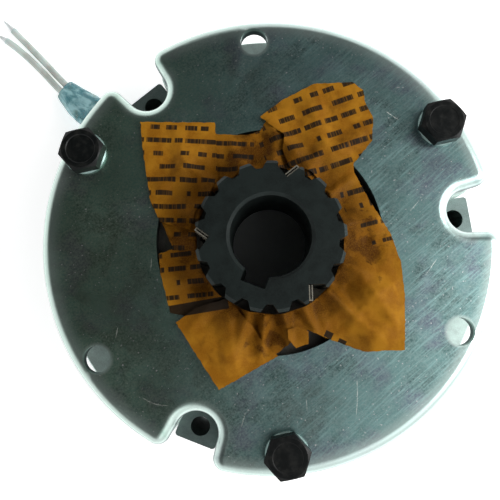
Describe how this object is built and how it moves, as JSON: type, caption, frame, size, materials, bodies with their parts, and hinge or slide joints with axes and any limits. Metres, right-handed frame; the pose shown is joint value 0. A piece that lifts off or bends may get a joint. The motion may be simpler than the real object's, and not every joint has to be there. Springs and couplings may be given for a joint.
{
  "type": "electromagnetic clutch",
  "caption": "Spring-applied electromagnetic friction clutch-brake with notched face plate, magnet body, armature plate, friction disc, splined hub, leads and paper.",
  "frame": {"origin": "on the shaft axis at the magnet body's back face, which the unit stands on", "axes": "+Z along the shaft from the magnet body to the face plate and hub; +X and +Y across it, with the first notch 9.5 degrees from +X"},
  "size_m": [0.1929, 0.1766, 0.075],
  "materials": {
    "zinc_plate": "zinc-plated, mottled, bright rolled edges",
    "black_oxide": "black oxide, oily",
    "washer_steel": "zinc-plated",
    "spacer_steel": "turned, zinc-plated",
    "spring_steel": "yellow-passivated spring steel",
    "carrier_aluminium": "turned",
    "friction_lining": "moulded friction material",
    "hub_steel": "phosphated steel",
    "armature_steel": "ground steel",
    "magnet_steel": "zinc-plated steel",
    "bobbin_plastic": "moulded",
    "coil_wire": "enamelled copper",
    "potting_resin": "cast resin",
    "grommet_rubber": "moulded",
    "sleeve_film": "translucent blue film",
    "lead_insulation": "white insulation",
    "tinned_wire": "tinned strand",
    "vci_paper": "crumpled waxed paper"
  },
  "bodies": {
    "housing": {"front_plate": "zinc_plate", "bolt_1": "black_oxide", "washer_1": "washer_steel", "spacer_1": "spacer_steel", "bolt_2": "black_oxide", "washer_2": "washer_steel", "spacer_2": "spacer_steel", "bolt_3": "black_oxide", "washer_3": "washer_steel", "spacer_3": "spacer_steel", "pressure_spring_1": "spring_steel", "pressure_spring_2": "spring_steel", "pressure_spring_3": "spring_steel", "pressure_spring_4": "spring_steel", "pressure_spring_5": "spring_steel", "pressure_spring_6": "spring_steel", "magnet_body": "magnet_steel", "coil_bobbin": "bobbin_plastic", "coil_winding": "coil_wire", "coil_potting": "potting_resin", "lead_grommet": "grommet_rubber", "lead_sleeve": "sleeve_film", "lead_wire_1": "lead_insulation", "lead_wire_2": "lead_insulation", "lead_end_1": "tinned_wire", "lead_end_2": "tinned_wire"},
    "hub": {"splined_hub": "hub_steel", "rattle_spring_1": "spring_steel", "rattle_spring_2": "spring_steel", "rattle_spring_3": "spring_steel"},
    "disc": {"disc_carrier": "carrier_aluminium", "front_lining": "friction_lining", "rear_lining": "friction_lining"},
    "armature": {"armature_plate": "armature_steel"},
    "paper": {"protective_paper": "vci_paper"}
  },
  "joints": [
    {"name": "hub_spin", "type": "hinge", "parent": "housing", "child": "hub", "pos_m": [0, 0, 0.06], "axis": [0, 0, 1], "continuous": true},
    {"name": "armature_slide", "type": "slide", "parent": "housing", "child": "armature", "axis": [0, 0, 1], "range_m": [-0.0003, 0], "stiffness_N_per_m": 20000, "springref_m": 0.002, "deforming": ["pressure_spring_1", "pressure_spring_2", "pressure_spring_3", "pressure_spring_4", "pressure_spring_5", "pressure_spring_6"]},
    {"name": "disc_float", "type": "slide", "parent": "hub", "child": "disc", "axis": [0, 0, 1], "range_m": [-0.00015, 0]},
    {"name": "paper_lift", "type": "slide", "parent": "housing", "child": "paper", "axis": [0, 0, 1], "range_m": [0, 0.05]}
  ],
  "couplings": [
    {"joint": "disc_float", "follows": "armature_slide", "ratio": 0.5}
  ]
}
